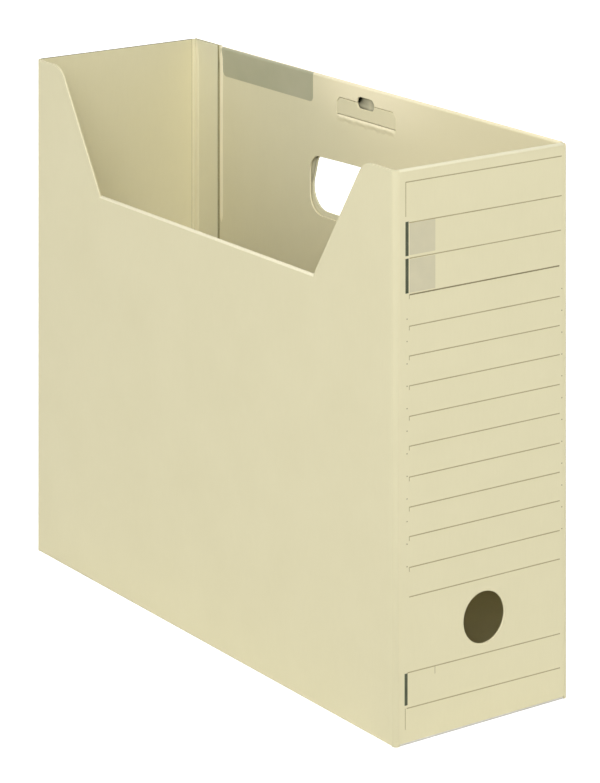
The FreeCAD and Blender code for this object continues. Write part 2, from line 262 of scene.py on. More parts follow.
# %% Cut edges
def grained(name, light, dark, scale=1500.0, detail=3.0, relief=0.4, rise=0.0001, roughness=0.9,
            gloss=0.15):
    """Matt surface: a noise mixes light and dark and raises the grain. The defaults suit pulp."""
    material, add, dress = start_material(name)
    grain = noise(add, add("ShaderNodeTexCoord").outputs["Object"], scale, detail)
    dress({"Base Color": mix(add, spread(add, grain), light, dark), "Roughness": roughness,
           "Specular IOR Level": gloss, "Normal": bumps(add, grain, relief, rise)})
    return material


# pale_cut: the pulp's pale tone, lightened by a painted highlight along the cut edges.
pale_cut = grained("pale_cut", srgb(240, 232, 196), srgb(226, 217, 180))
# back_cut: darker than pale_cut, painted shade for the back wall's cut edges, seen at the hand hole in
# the lid's shadow.
back_cut = grained("back_cut", srgb(222, 219, 186), srgb(208, 205, 172))
grey_cut = grained("grey_cut", srgb(128, 126, 98), srgb(108, 106, 80))
edge_cut = grained("edge_cut", srgb(148, 144, 108), srgb(134, 130, 94))
# A dull tone for the ridge in the gap beside the glue flap: painted shade of that narrow gap.
dry_glue = grained("dry_glue", srgb(186, 180, 142), srgb(170, 164, 128))
print("cut edges", [name for name in bpy.data.materials.keys() if name.endswith("_cut")])

# %% [markdown]
# ## Building board
# Two surfaces make nearly everything. A flat panel is an outline whose cut edge is carried round it:
# the edge's profile leaves one face, rounds over the arris, crosses the thickness and rounds over to
# the other face. A folded stretch is the board's own cross-section carried along the fold's line.
# Both are computed as whole arrays, then closed, so each piece is a solid sheet with real thickness.

# %% Outlines
def unit(arrows):
    """Each arrow divided by its length."""
    return arrows / np.maximum(np.linalg.norm(arrows, axis=1, keepdims=True), 1e-12)


def rounded(corners, steps=10):
    """Closed outline through corners (a, b, radius). A corner becomes an arc about the point that lies
    radius / sin(half) from it on its bisector, from one tangent point to the other."""
    corners = np.array(corners, float)
    here, radius = corners[:, :2], corners[:, 2:]
    back, ahead = unit(np.roll(here, 1, axis=0) - here), unit(np.roll(here, -1, axis=0) - here)
    half = np.arccos(np.clip((back * ahead).sum(1, keepdims=True), -1, 1)) / 2
    centre = here + unit(back + ahead) * radius / np.sin(half)
    first = here + back * radius / np.tan(half) - centre
    turn = np.sign(back[:, :1] * ahead[:, 1:] - back[:, 1:] * ahead[:, :1])
    angle = -turn * (math.pi - 2 * half) * np.linspace(0, 1, steps)
    cosine, sine = np.cos(angle), np.sin(angle)
    a = centre[:, :1] + first[:, :1] * cosine - first[:, 1:] * sine
    b = centre[:, 1:] + first[:, :1] * sine + first[:, 1:] * cosine
    loop = np.stack([a.ravel(), b.ravel()], axis=1)
    kept = np.linalg.norm(loop - np.roll(loop, 1, axis=0), axis=1) > 1e-7
    return loop[kept]


def circle(a, b, radius, count=72):
    """Closed outline: centre (a, b) plus radius times cosine and sine, anticlockwise."""
    turn = np.linspace(0, 2 * math.pi, count, endpoint=False)
    return np.stack([a + radius * np.cos(turn), b + radius * np.sin(turn)], axis=1)


def inset(loop, distance):
    """Each point moved to the left of the travel by distance, along the mitre of its two sides."""
    side = unit(np.roll(loop, -1, axis=0) - loop)
    left = np.stack([-side[:, 1], side[:, 0]], axis=1)
    before = np.roll(left, 1, axis=0)
    mitre = (left + before) / (1 + (left * before).sum(1, keepdims=True))
    return loop + mitre * distance


# %% Turning arrays into a piece
crease_angle = math.radians(40)


def add_piece(name, points, faces, finish, body, stands_for=(), cut=False, smooth=True):
    """Mesh object at the origin; cut faces take the second finish, and closed shells face outwards. cut
    and smooth hold for all faces or are given for each."""
    mesh = bpy.data.meshes.new(name)
    mesh.from_pydata(points.tolist(), [], faces)
    mesh.polygons.foreach_set("material_index", np.broadcast_to(cut, len(faces)).astype(np.int32))
    mesh.polygons.foreach_set("use_smooth", np.broadcast_to(smooth, len(faces)).astype(bool))
    shell = bmesh.new()
    shell.from_mesh(mesh)
    bmesh.ops.remove_doubles(shell, verts=shell.verts, dist=1e-7)
    bmesh.ops.recalc_face_normals(shell, faces=shell.faces)
    shell.to_mesh(mesh)
    shell.free()
    kept_smooth = np.empty(len(mesh.polygons), bool)
    mesh.polygons.foreach_get("use_smooth", kept_smooth)
    mesh.set_sharp_from_angle(angle=crease_angle)
    mesh.polygons.foreach_set("use_smooth", kept_smooth)
    for material in finish:
        mesh.materials.append(material)
    piece = bpy.data.objects.new(name, mesh)
    link(piece)
    if stands_for:
        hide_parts(*stands_for)
    if body:
        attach(piece, body)
    return piece


def mark_points(piece, name, values):
    """Gives each point of a piece the value that its material reads under this name."""
    attribute = piece.data.attributes.new(name, "FLOAT", "POINT")
    attribute.data.foreach_set("value", values.astype(np.float32))


def tube_quads(index):
    """Quads between neighbouring rows of point numbers, each row closed on itself."""
    ahead = np.roll(index, -1, axis=1)
    return np.stack([index[:-1], ahead[:-1], ahead[1:], index[1:]], axis=-1).reshape(-1, 4).tolist()


def closed_tube(index):
    """The same with the first and the last row as end faces."""
    return tube_quads(index) + [index[0].tolist(), index[-1].tolist()]


# %% Flat panels
edge_steps = 4
edge_turn = np.linspace(0, math.pi / 2, edge_steps)


def panel(name, loops, place, body, stands_for=(), finish=(wall_board, pale_cut),
          thickness=board, soft=arris, bare_arris=False):
    """Panel from outlines (the outer one anticlockwise, holes clockwise). Ring k of the edge is the
    outline moved in by soft (1 - sin t) and down by soft (1 - cos t), t from 0 to a quarter turn, and
    the same again from the other face. place turns (a, b, depth) into a point."""
    narrow, deep = soft * (1 - np.sin(edge_turn)), soft * (1 - np.cos(edge_turn))
    shrink = np.concatenate([narrow, narrow[::-1]])
    depth = np.concatenate([deep, thickness - deep[::-1]])
    rings = len(shrink)
    points, faces, cut, start, caps = [], [], [], 0, ([], [])
    for loop in loops:
        count = len(loop)
        flat = np.concatenate([inset(loop, amount) for amount in shrink])
        points.append(place(flat[:, 0], flat[:, 1], np.repeat(depth, count)))
        index = start + np.arange(rings * count).reshape(rings, count)
        faces += tube_quads(index)
        cut += np.repeat(bare_arris | (np.arange(rings - 1) == edge_steps - 1), count).tolist()
        caps[0].append((index[0], flat[:count]))
        caps[1].append((index[-1], flat[-count:]))
        start += rings * count
    smooth = [True] * len(faces)
    for cap in caps:
        numbers = np.concatenate([index for index, _ in cap])
        triangles = tessellate_polygon([[Vector((*p, 0)) for p in flat] for _, flat in cap])
        faces += [[int(numbers[i]) for i in triangle] for triangle in triangles]
    flats = [False] * (len(faces) - len(smooth))
    return add_piece(name, np.concatenate(points), faces, finish, body, stands_for,
                     cut + flats, smooth + flats)


# %% Folded stretches
def travel(start, heading, moves):
    """Centre line of a fold: from start with a heading in degrees, straight runs (length, 0, steps) and
    bends (radius, degrees, steps). Returns the points and the heading at each."""
    here, angle = np.array(start, float), math.radians(heading)
    line, headings = [here[None]], [np.array([angle])]
    for size, degrees, steps in moves:
        share = np.linspace(0, 1, steps + 1)[1:]
        if degrees:
            turn = math.radians(degrees) * share
            centre = here + math.copysign(size, degrees) * np.array([-math.sin(angle), math.cos(angle)])
            arm = here - centre
            stretch = centre + np.stack([arm[0] * np.cos(turn) - arm[1] * np.sin(turn),
                                         arm[0] * np.sin(turn) + arm[1] * np.cos(turn)], axis=1)
            headings.append(angle + turn)
        else:
            stretch = here + size * share[:, None] * np.array([math.cos(angle), math.sin(angle)])
            headings.append(np.full(steps, angle))
        line.append(stretch)
        here, angle = stretch[-1], headings[-1][-1]
    return np.concatenate(line), np.concatenate(headings)


def fold(name, line, headings, low, high, place, body, stands_for=(),
         finish=(wall_board, pale_cut), rub=None, shade=None):
    """Board's cross-section carried along a line: at each station a ring runs from low to high across
    the sheet and half a board to each side of the line, with its four arrises rounded. The two sides of
    the ring that cross the board's thickness are cut edges."""
    count = len(line)
    low, high = np.broadcast_to(low, count), np.broadcast_to(high, count)
    turn = (edge_turn + np.arange(4)[:, None] * math.pi / 2).ravel()
    right = np.repeat([1.0, 0.0, 0.0, 1.0], edge_steps)
    outer = np.repeat([1.0, 1.0, -1.0, -1.0], edge_steps)
    across = np.where(right > 0, high[:, None] - arris, low[:, None] + arris) + arris * np.cos(turn)
    lift = outer * (board / 2 - arris) + arris * np.sin(turn)
    ring = len(turn)
    a = line[:, :1] - np.sin(headings)[:, None] * lift
    b = line[:, 1:] + np.cos(headings)[:, None] * lift
    points = place(a.ravel(), b.ravel(), across.ravel())
    faces = closed_tube(np.arange(count * ring).reshape(count, ring))
    edge = np.isin(np.arange(ring), [2 * edge_steps - 1, 4 * edge_steps - 1])
    piece = add_piece(name, points, faces, finish, body, stands_for,
                      np.tile(edge, count - 1).tolist() + [True, True],
                      [True] * (len(faces) - 2) + [False, False])
    # The painted highlight and the painted shade, where given, go onto the points.
    for painted_mark, amount in (("rub", rub), ("shade", shade)):
        if amount is not None:
            mark_points(piece, painted_mark, np.repeat(amount, ring))
    return piece


# %% Where panels and folds are placed
def placer(axis, face=0.0, inward=1):
    """A function from arrays (a, b, depth) to points: a and b lie along the two other axes in their
    order, and the place along this axis, 0 to 2 for X to Z, is face plus inward times depth."""
    def place(a, b, depth):
        point = [a, b]
        point.insert(axis, face + inward * depth)
        return np.stack(point, axis=-1)
    return place


across_x, across_y, across_z = placer(0), placer(1), placer(2)
print("a point of a fold carried along X:", across_x(0.1, 0.2, 0.0))

# %% [markdown]
# ## Camera
# The photograph was taken from above, yet its uprights stand parallel: it was taken, or corrected, as
# with a view camera whose film stays upright while the lens looks down. A plain camera tilted at the
# box would squeeze its foot. Shifting a level camera's film would fit, but by more than the picture's
# height. So the camera stands under an empty whose unequal scale leans the film's up direction back
# to the vertical. The split into that scale and two turns is the singular value decomposition.

# %% Camera with an upright film
photo_height = 783
focal_pixels = 3241.4
eye_level_row = -574.6
eye = (1333.2 * mm, -933.5 * mm, 599.7 * mm)
bearing = math.radians(54.753)

cosine, sine = math.cos(bearing), math.sin(bearing)
film_right, film_up = np.array([cosine, sine, 0]), np.array([0.0, 0.0, 1.0])
level_back = np.array([sine, -cosine, 0])
drop_pixels = photo_height / 2 - eye_level_row
view_back = level_back * focal_pixels + film_up * drop_pixels
view_length = float(np.linalg.norm(view_back))
lean, stretch, swing = np.linalg.svd(np.stack([film_right, film_up, view_back / view_length], axis=1))
if np.linalg.det(lean) < 0:
    lean[:, 2] *= -1
    swing[2] *= -1
tripod = bpy.data.objects.new("tripod", None)
tripod.scale = stretch
tripod.location = eye
lens = bpy.data.cameras.new("lens")
lens.sensor_width = 36
lens.lens = lens.sensor_width * view_length / photo_height
lens.clip_start, lens.clip_end = 0.05, 200
camera = bpy.data.objects.new("camera", lens)
camera.parent = tripod
for stand, turned in ((tripod, lean), (camera, swing)):
    stand.rotation_mode = "QUATERNION"
    stand.rotation_quaternion = Matrix(turned.tolist()).to_quaternion()
    link(stand)
bpy.context.scene.camera = camera
print("camera", [round(v, 3) for v in eye], "lens", round(lens.lens, 1), "mm")

# %% [markdown]
# ## Stage and light
# The box stands on white paper before white paper. The photo's main light is a broad soft one, high up
# on the spine's side: the front wall and the spine come out alike and the inside falls off softly.
# Weaker ones stand before the front wall and the spine, behind the back wall and beside the end wall,
# so that the box reads from every side. White comes from the paper's colour and, for rays that the
# camera sees, from a world of strength 1, never from more light on the box.

# %% Light
box_middle = Vector((0.0, 0.0, height / 2))
lamp_size = 3.6
lamps = {"key_box": ((2.8, -1.8, 3.0), 164), "front_box": ((0.8, -3.6, 1.6), 45),
         "left_box": ((-0.8, -3.9, 1.2), 10), "side_box": ((3.6, -1.0, 1.1), 8),
         "back_box": ((-3.0, 2.6, 2.0), 58), "far_box": ((1.4, 3.8, 2.0), 38),
         "end_box": ((-3.8, -1.4, 1.6), 15)}
for name, (place, watts) in lamps.items():
    data = bpy.data.lights.new(name, "AREA")
    data.shape, data.size, data.energy = "SQUARE", lamp_size, watts
    lamp = bpy.data.objects.new(name, data)
    lamp.location = place
    lamp.rotation_euler = (box_middle - Vector(place)).to_track_quat("-Z", "Y").to_euler()
    link(lamp)

fill_level = 0.08
world = bpy.data.worlds.new("white_room")
bpy.context.scene.world = world
world.use_nodes = True
add = node_maker(world.node_tree)
rays = add("ShaderNodeLightPath").outputs
seen = maths(add, "MAXIMUM", rays["Is Camera Ray"], rays["Is Glossy Ray"])
seen = maths(add, "MAXIMUM", seen, rays["Is Transmission Ray"])
level = spread(add, seen, fill_level, 1.0, 0.0, 1.0)
backing = world.node_tree.nodes["Background"]
backing.inputs[0].default_value = (1, 1, 1, 1)
world.node_tree.links.new(level, backing.inputs[1])
bpy.context.scene.view_settings.view_transform = "Standard"
print("lamps", list(lamps), "from", lamp_size, "m squares")

# %% Floor
# White paper: a square just below the box, matt, with a light of its own that only the camera sees.
floor_reach, floor_drop = 30.0, 0.00005
corners = np.array([[-1, -1, 0], [1, -1, 0], [1, 1, 0], [-1, 1, 0]]) * floor_reach - [0, 0, floor_drop]
mesh = bpy.data.meshes.new("floor")
mesh.from_pydata(corners.tolist(), [], [(0, 1, 2, 3)])
paper, add, dress = start_material("white_paper")
glow = spread(add, add("ShaderNodeLightPath").outputs["Is Camera Ray"], 0.0, 0.8, 0.0, 1.0)
dress({"Base Color": (0.84, 0.84, 0.84, 1), "Roughness": 0.95, "Specular IOR Level": 0.1,
       "Emission Color": (1, 1, 1, 1), "Emission Strength": glow})
mesh.materials.append(paper)
floor = bpy.data.objects.new("floor", mesh)
link(floor)
print("floor", 2 * floor_reach, "m wide")

# %% [markdown]
# ## The walls
# The front wall has a trapezium cut out of its top, so that files can be taken from the side. Its two
# upper corners are rounded and its slanted edges are plainly cut, so their pale pulp shows as a fine
# light line, made lighter by a painted highlight. The spine and the back wall have their holes, and the
# end wall is plain.

# %% Front wall
low, high = cutout_bottom / 2, cutout_top / 2
fold_z = cutout_z - liner_roll
front_outline = rounded([
    (-wall_x, floor_radius, 0), (wall_x, floor_radius, 0), (wall_x, height, 0),
    (high, height, cutout_round), (low, cutout_z, 0), (low, fold_z, 0), (-low, fold_z, 0),
    (-low, cutout_z, 0), (-high, height, cutout_round), (-wall_x, height, 0)])
panel("front_wall_board", [front_outline], placer(1, y_front), "box", ["front_wall"])
print("front wall outline", len(front_outline), "points")

# %% Back wall
ear = height - board
ear_x = lid_x1 + 0.5 * mm
end_ear_x = lid_x0 - 1.0 * mm


def mirrored_hole(left_side):
    """Clockwise hole: the left side's corners from foot to top, an arched crown, the right side."""
    right_side = [(-a, b, radius) for a, b, radius in reversed(left_side)]
    return rounded(left_side + [(0, hand_hole_top, crown_radius)] + right_side)


hand_hole = mirrored_hole([
    (-hand_hole_half, hand_hole_foot, 12 * mm),
    (-hand_hole_half, hand_hole_foot + hand_hole_widest, 8 * mm),
    (hand_hole_lean - hand_hole_half, hand_hole_top - hand_hole_crown, 4 * mm)])
back_outline = rounded([
    (x_end, floor_radius, 0), (wall_x, floor_radius, 0), (wall_x, ear, 0), (ear_x, ear, 0),
    (ear_x, hinge_z, 0), (end_ear_x, hinge_z, 0), (end_ear_x, height, 0), (x_end, height, 0)])
panel("back_wall_board", [back_outline, hand_hole], placer(1, y_back, -1), "box",
      ["back_wall"], (wall_board, back_cut))
print("hand hole", round(2 * hand_hole_half / mm, 1), "mm wide")

# %% Spine and end wall
# The spine's outer face leaves room for the ink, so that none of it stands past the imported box.
ink_room = 0.04 * mm


def oblong(low_a, high_a, low_b, high_b):
    """Square-cornered outline."""
    return rounded([(low_a, low_b, 0), (high_a, low_b, 0), (high_a, high_b, 0), (low_a, high_b, 0)])


finger_hole = circle(finger_hole_y, finger_hole_z, finger_hole_radius)[::-1]
spine_outline = oblong(wall_y_front, wall_y_back, floor_radius, height - liner_roll)
panel("spine_board", [spine_outline, finger_hole], placer(0, x_spine - ink_room, -1), "box",
      ["spine_wall"], thickness=board - ink_room)
panel("end_wall_board", [oblong(wall_y_front, end_y_back, floor_radius, height)], placer(0, x_end),
      "box", ["end_wall"], (wall_board, grey_cut), bare_arris=True)
glue_low, glue_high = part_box("glue_flap")
panel("glue_flap_board", [oblong(glue_low.x, glue_high.x, glue_low.z, glue_high.z)],
      placer(1, glue_low.y), "box", ["glue_flap"], (inner_board, edge_cut))
print("finger hole", round(2 * finger_hole_radius / mm, 1), "mm across")

# %% [markdown]
# ## Upright corners
# A crease turns the board through a quarter circle. Outside, a faint band runs down each corner: a
# painted highlight, or on the front corner by the spine and the back corner by the end wall a painted
# shade that tones down the light they catch. Inside, the creasing tool has pushed up a bead. The bend
# is the board carried along a quarter arc in plan, and the bead is a slim ridge laid into it.

# %% Corners
corner_steps = 14


def corner(name, x_side, y_outer, heading, top, finish=(wall_board, pale_cut), rub=0.3, corner_shade=0.0):
    """Quarter bend in plan from a heading in degrees, whose outer faces lie on x_side and y_outer. Its
    top is a height or a function of the line. Its painted highlight and painted shade are strongest
    along its middle and fall with the square of the way to its sides."""
    centre = np.array([x_side - math.copysign(corner_radius, x_side),
                       y_outer - math.copysign(corner_radius, y_outer)])
    middle_radius = corner_radius - board / 2
    turned = math.radians(heading) - math.pi / 2
    start = centre + middle_radius * np.array([math.cos(turned), math.sin(turned)])
    line, headings = travel(start, heading, [(middle_radius, 90, corner_steps)])
    share = np.linspace(-1, 1, len(line))
    tops = top(line) if callable(top) else top
    fold(name + "_fold", line, headings, corner_foot, tops, across_z, "box",
         [name + "_corner"], finish, rub * (1 - share ** 2), corner_shade * (1 - share ** 2))


def slanted_top(line):
    """Top of the corner beside the lid's fold: full height, falling two boards over the bend."""
    run = np.clip((line[:, 0] - (wall_x - board)) / (corner_radius + board), 0, 1)
    return height - 2 * board * run


# Painted highlight on two corners; painted shade on the front one by the spine and the back one by the
# end wall.
corner("front_spine", x_spine, y_front, 0, height, rub=0.0, corner_shade=0.13)
corner("back_spine", x_spine, y_back, 90, slanted_top)
corner("front_end", x_end, y_front, 270, height)
corner("back_end", x_end, y_back - board, 180, height, (wall_board, grey_cut), rub=0.0, corner_shade=0.05)
print("corners bent in", corner_steps, "steps")

# %% Beads and pressed lines
def ridge(name, x, y, foot, top, width, lift, body="box", material=inner_board, rub=0.0):
    """Pressed upright ridge: from foot to top an ellipse, width to each side along X and lift to each
    side along Y, which swells from nothing over the first and last few stations."""
    stations, around = 48, 18
    share = np.linspace(0, 1, stations)[:, None]
    swell = np.sqrt(np.clip(np.minimum(share, 1 - share) * 24, 0.004, 1))
    turn = np.linspace(0, 2 * math.pi, around, endpoint=False)
    levels = np.broadcast_to(foot + (top - foot) * share, (stations, around))
    points = across_z(x + swell * (width * np.cos(turn)), y + swell * (lift * np.sin(turn)), levels)
    faces = closed_tube(np.arange(stations * around).reshape(stations, around))
    piece = add_piece(name, points.reshape(-1, 3), faces, (material,), body)
    mark_points(piece, "rub", np.full(stations * around, rub))


bead_radius, bead_inset = 0.75 * mm, corner_radius - 0.8 * mm
for name, x_side, y_side, top in (("front_end_bead", x_end, y_front, height - 1.2 * mm),
                                  ("front_spine_bead", x_spine, y_front, height - 46 * mm),
                                  ("back_spine_bead", x_spine, y_back, height - 46 * mm)):
    ridge(name, x_side - math.copysign(bead_inset, x_side), y_side - math.copysign(bead_inset, y_side),
          6 * mm, top, bead_radius, bead_radius)
# The press line beside the corner carries a painted highlight.
ridge("glue_flap_press", x_end + 3.5 * mm, glue_low.y, 8 * mm, height - 0.4 * mm, 1.9 * mm, 0.2 * mm,
      rub=0.6)
# A dull ridge in the gap between the glue flap's edge and the lid: painted shade of the gap.
ridge("glue_line", glue_high.x + 0.95 * mm, y_back - board, 12 * mm, hinge_z - 4 * mm, 1.05 * mm,
      0.8 * mm, material=dry_glue)
print("beads of radius", round(bead_radius / mm, 2), "mm, a press line and a line of glue")

# %% [markdown]
# ## Folded rims
# The cut-out's lower edge and the spine's top are folded over to the inside, which makes them stiff and
# smooth to the hand. The fold is a tight roll that catches the light along its whole length, and a
# painted highlight, which fades out a little below the roll, lightens it further; the flap below it
# narrows towards its foot, where its corners are rounded.

# %% Rims
rim_radius = fold_gap / 2 + board / 2


def liner_half(below, length, half, taper):
    """Half width of a liner: narrows evenly by taper, then by a quarter circle at its foot."""
    even = half - taper * np.clip(below / length, 0, 1)
    into = np.clip(below - (length - liner_round), 0, liner_round)
    return even - (liner_round - np.sqrt(np.maximum(liner_round ** 2 - into ** 2, 0)))


def rim(name, wall_line, top, foot, half, taper, middle, sign, place, node, highlight_amount):
    """Rolled rim: over a half circle from the wall's top and down as the liner, which lies half to each
    side of middle. sign is 1 where the fold turns towards a rising first coordinate."""
    roll_steps, liner_steps, highlight_reach = 24, 40, 1.5 * mm
    length = top - liner_roll - foot
    line, headings = travel((wall_line, top - liner_roll - 0.0001 * mm), 90,
                            [(rim_radius, -180 * sign, roll_steps), (length, 0, liner_steps)])
    below = np.clip(top - liner_roll - line[:, 1], 0, length) * (np.arange(len(line)) > roll_steps)
    halves = liner_half(below, length, half, taper)
    fold(name, line, headings, middle - halves, middle + halves, place, "box",
         [node], (inner_board, pale_cut), rub=highlight_amount * np.clip(1 - below / highlight_reach, 0, 1))


rim("front_rim", y_front + board / 2, cutout_z, front_liner_foot, cutout_bottom / 2, front_liner_taper,
    0.0, 1, across_x, "front_liner", 0.8)
rim("spine_rim", x_spine - board / 2, height, spine_liner_foot, (wall_y_back - wall_y_front) / 2,
    liner_side_gap, (wall_y_front + wall_y_back) / 2, -1, across_y, "spine_liner", 0.2)
print("rims rolled with radius", round(rim_radius / mm, 2), "mm")

# %% [markdown]
# ## Bottom
# Below, the board turns under all four walls. The two short flaps lie inside; the long ones cover
# them from below and meet along a line beside the middle, with a tongue of the back one over the
# front one. All of it is seen only from inside and from below.

# %% Long bottom flaps
tongue_half, tongue_round, tongue_root = 60.0 * mm, 8.0 * mm, 4 * mm
layer, flap_gap = board + 0.1 * mm, 0.3 * mm
raw_finish = (raw_board, pale_cut)
long_low, long_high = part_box("front_bottom_flap")
joint_y = long_high.y + flap_gap
tongue_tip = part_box("back_bottom_flap")[0].y
panel("front_bottom_board", [oblong(long_low.x, long_high.x, y_front + floor_radius, long_high.y)],
      placer(2), "box", ["front_bottom_flap"], raw_finish)
panel("back_bottom_board", [oblong(long_low.x, long_high.x, joint_y, y_back - floor_radius)],
      placer(2), "box", ["back_bottom_flap"], raw_finish)
tongue_outline = rounded([
    (-tongue_half, tongue_tip, tongue_round), (tongue_half, tongue_tip, tongue_round),
    (tongue_half, joint_y + tongue_root, 0), (-tongue_half, joint_y + tongue_root, 0)])
panel("bottom_tongue_board", [tongue_outline], placer(2, layer), "box",
      finish=raw_finish)
floor_line, floor_steps = floor_radius - board / 2, 10
for side, wall_line in (("front", y_front + board / 2), ("back", y_back - board / 2)):
    line, headings = travel((wall_line, floor_radius), 270,
                            [(floor_line, math.copysign(90, -wall_line), floor_steps)])
    fold(side + "_floor_fold", line, headings, -wall_x, wall_x, across_x, "box",
         [side + "_floor_crease"], rub=np.full(len(line), 0.4))
print("long flaps meet at y", round(joint_y / mm, 1), "mm")


# %% Short bottom flaps
def side_flap(name, side, node):
    """Short flap: under the wall in a quarter bend, up a small ramp and along the upper layer. Its
    corners are cut off by narrowing it evenly over the last stretch."""
    low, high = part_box(node)
    ramp, chamfer, flat, bend = 3.0 * mm, 8.0 * mm, 1.0 * mm, 0.02 * mm
    slope = math.degrees(math.atan2(layer, ramp))
    reach = (high.x - low.x) - floor_radius - flat - ramp
    line, headings = travel((side * (x_spine - board / 2), floor_radius), 270,
                            [(floor_line, -90 * side, floor_steps), (flat, 0, 1),
                             (bend, -slope * side, 2), (math.hypot(ramp, layer), 0, 2),
                             (bend, slope * side, 2), (reach - chamfer, 0, 2), (chamfer, 0, 4)])
    tip = side * line[-1, 0]
    narrow = np.clip(tip + chamfer - side * line[:, 0], 0, chamfer)
    fold(name, line, headings, low.y + narrow, high.y - narrow, across_y, "box", [node],
         raw_finish)
    print(name, "reaches", round(reach / mm, 1), "mm past its ramp")


side_flap("spine_bottom_board", 1, "spine_bottom_flap")
side_flap("end_bottom_board", -1, "end_bottom_flap")

# %% [markdown]
# ## The lid
# The lid hangs from the back wall's top in a roll of board, and its front flap goes on below it with no
# step. Each hinge is a crease, so the skin there has to bend: at the top a half ring of board, and at
# the far edge a narrow stretch between lid and front flap, where the lid board is cut across in level
# slices. The lid's hand hole is a little larger than the back wall's: both cut edges show.

# %% Lid panel
crease_reach, crease_cuts = 1.0 * mm, 17
on_lid = placer(1, lid_y0)
tab_round, notch_top = 0.6 * mm, tab_cut_z + notch_rise + notch_half


def tab_edge(left, right, foot, top, chamfer, notch_end, notch_round):
    """Corners of the tab, or of its opening, clockwise from its foot over the notched free edge."""
    return [(left, foot, 0), (left, top - chamfer, tab_round), (left + chamfer, top, tab_round),
            (notch_left, top, 0), (notch_left, notch_end, notch_round),
            (notch_right, notch_end, notch_round), (notch_right, top, 0),
            (right - chamfer, top, tab_round), (right, top - chamfer, tab_round), (right, foot, 0)]


tab_opening = rounded(tab_edge(tab_left - tab_kerf, tab_right + tab_kerf, tab_crease_z,
                               tab_cut_z + tab_kerf, tab_chamfer + tab_kerf / 2, notch_top,
                               notch_half - 0.01 * mm))
lid_hole = mirrored_hole([
    (-hand_hole_half - lid_hole_side, hand_hole_foot - lid_hole_foot, 10 * mm),
    (-hand_hole_half - lid_hole_side, hand_hole_top - hand_hole_crown, 8 * mm)])
lid_outline = rounded([
    (lid_x0 + flap_taper, flap_foot, flap_round), (lid_x1 - flap_taper, flap_foot, flap_round),
    (lid_x1, flap_z - flap_shoulder, 0), (lid_x1, hinge_z, 0), (lid_x0, hinge_z, 0),
    (lid_x0, flap_z - flap_shoulder, 0)])
lid_board = panel("lid_board", [lid_outline, lid_hole, tab_opening], on_lid, None,
                  ["lid_panel", "lid_flap_crease", "lid_front_flap"], (lid_strip, pale_cut))


def level_cuts(piece, heights):
    """Cuts the piece's faces along level planes, so that it can bend there."""
    shell = bmesh.new()
    shell.from_mesh(piece.data)
    for z in heights:
        parts = shell.verts[:] + shell.edges[:] + shell.faces[:]
        bmesh.ops.bisect_plane(shell, geom=parts, dist=1e-8, plane_co=(0, 0, z), plane_no=(0, 0, 1))
    shell.to_mesh(piece.data)
    shell.free()


def remember_place(piece):
    """Stores each point's place at rest as the attribute rest_place."""
    points = np.empty(len(piece.data.vertices) * 3, np.float32)
    piece.data.vertices.foreach_get("co", points)
    piece.data.attributes.new("rest_place", "FLOAT_VECTOR", "POINT").data.foreach_set("vector", points)


level_cuts(lid_board, np.linspace(flap_z - crease_reach, flap_z + crease_reach, crease_cuts).tolist())
remember_place(lid_board)
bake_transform(lid_board)
print("lid board", len(lid_board.data.polygons), "faces, down to", round(flap_foot / mm, 1), "mm")

# %% Hinge roll of the lid
roll_radius, roll_steps = y_back - board / 2 - hinge_y, 36
line, headings = travel((hinge_y + roll_radius, hinge_z), 90, [(roll_radius, 180, roll_steps)])
# The hinge roll carries a painted highlight, strongest at its top.
lid_roll = fold("lid_roll", line, headings, lid_x0, lid_x1, across_x, None, ["lid_crease"],
                finish=(lid_strip, pale_cut), rub=0.9 * np.sin(np.linspace(0, math.pi, len(line))))
remember_place(lid_roll)
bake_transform(lid_roll)
print("hinge roll radius", round(roll_radius / mm, 2), "mm")

# %% [markdown]
# ## Lock tab
# The tab is cut out of the lid on three sides and creased at its foot. The knife leaves a fine dark
# line, the creasing tool a groove with a rounded shoulder below it that catches the light. The notch in
# its free edge lets a fingertip lift it. A shoulder that fades out unevenly needs a height and a tone
# at each of its points, which a film over a grid can hold; its tone is a painted highlight. The painted
# shadows behind the notch and round the hand hole use the film again.

# %% Films that carry a tone
def film(name, front, thickness, tone, body, wrap=False, mark="shade",
         material=inner_board):
    """Film over a grid of points: its back is the front moved by thickness along Y, its rims are
    closed, and tone, from 0 to 1 at each point of the grid, sets how strongly the mark shows."""
    rows, columns = front.shape[:2]
    points = np.concatenate([front.reshape(-1, 3), (front + [0, thickness, 0]).reshape(-1, 3)])
    index = np.arange(rows * columns).reshape(rows, columns)
    if wrap:
        index = np.concatenate([index, index[:, :1]], axis=1)
    face = np.stack([index[:-1, :-1], index[:-1, 1:], index[1:, 1:], index[1:, :-1]], axis=-1)
    face = face.reshape(-1, 4)
    rims = [index[0], index[-1]] + ([] if wrap else [index[:, 0], index[:, -1]])
    behind = rows * columns
    sides = [np.stack([rim[:-1], rim[1:], rim[1:] + behind, rim[:-1] + behind], axis=1) for rim in rims]
    faces = np.concatenate([face, face[:, ::-1] + behind, *sides]).tolist()
    piece = add_piece(name, points, faces, (material,), body)
    mark_points(piece, mark, np.tile(tone.ravel(), 2))
    return piece


# %% Lock tab
# It fills its opening less the cut, which is tightest at the right, and runs anticlockwise.
tight_side = 0.06 * mm
edge = tab_edge(tab_left, tab_right + tab_kerf - tight_side, tab_crease_z + tab_kerf, tab_cut_z,
                tab_chamfer, notch_top - 2 * notch_half, notch_half - notch_rise - 0.01 * mm)
tab_outline = rounded(edge[:1] + edge[:0:-1])
panel("lock_tab_board", [tab_outline], on_lid, "tab", ["lock_tab"], (lid_film, pale_cut))

